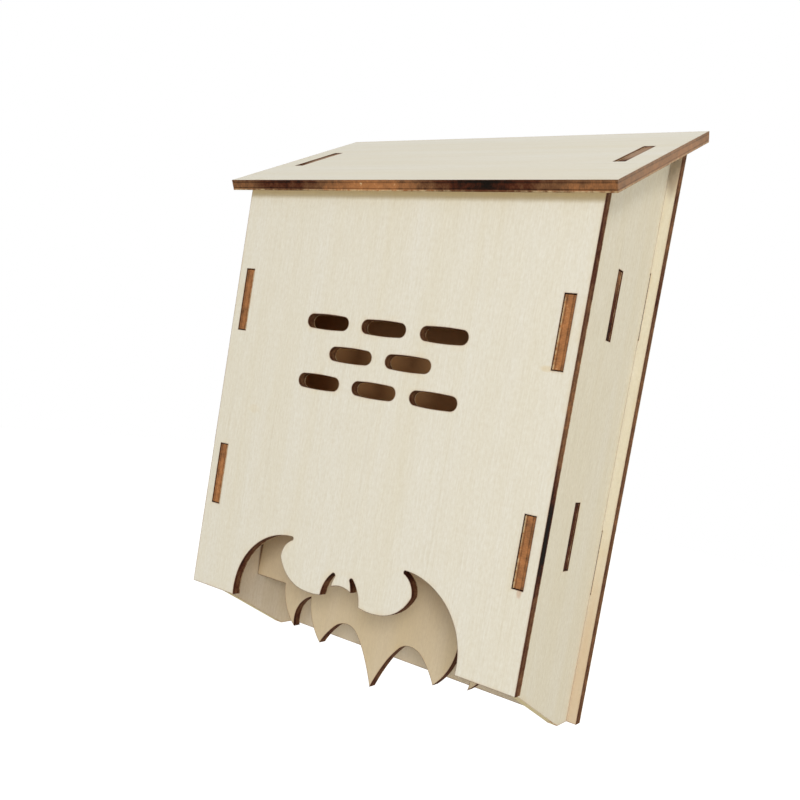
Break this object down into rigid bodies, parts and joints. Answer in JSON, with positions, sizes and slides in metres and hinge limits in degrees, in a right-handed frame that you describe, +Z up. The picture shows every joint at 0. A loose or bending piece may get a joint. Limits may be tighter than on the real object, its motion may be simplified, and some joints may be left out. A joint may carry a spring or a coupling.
{
  "type": "bat box",
  "caption": "Hanging plywood bat box with a sloping roof, a bat-shaped entrance notch, slotted vents and a mid baffle, held together by tenons.",
  "frame": {"origin": "centre of the keyhole's round hole, on the rear face of the back panel", "axes": "+X to the right seen from the front, +Y into the wall that the box hangs on, +Z up; the entrance faces -Y"},
  "size_m": [0.2074, 0.0955, 0.2926],
  "materials": {
    "plywood": "unfinished laser-cut plywood, sanded faces and scorched edges"
  },
  "bodies": {
    "root": {"front_panel": "plywood", "back_panel": "plywood", "side_left": "plywood", "side_right": "plywood", "baffle": "plywood", "roof": "plywood"}
  },
  "joints": []
}
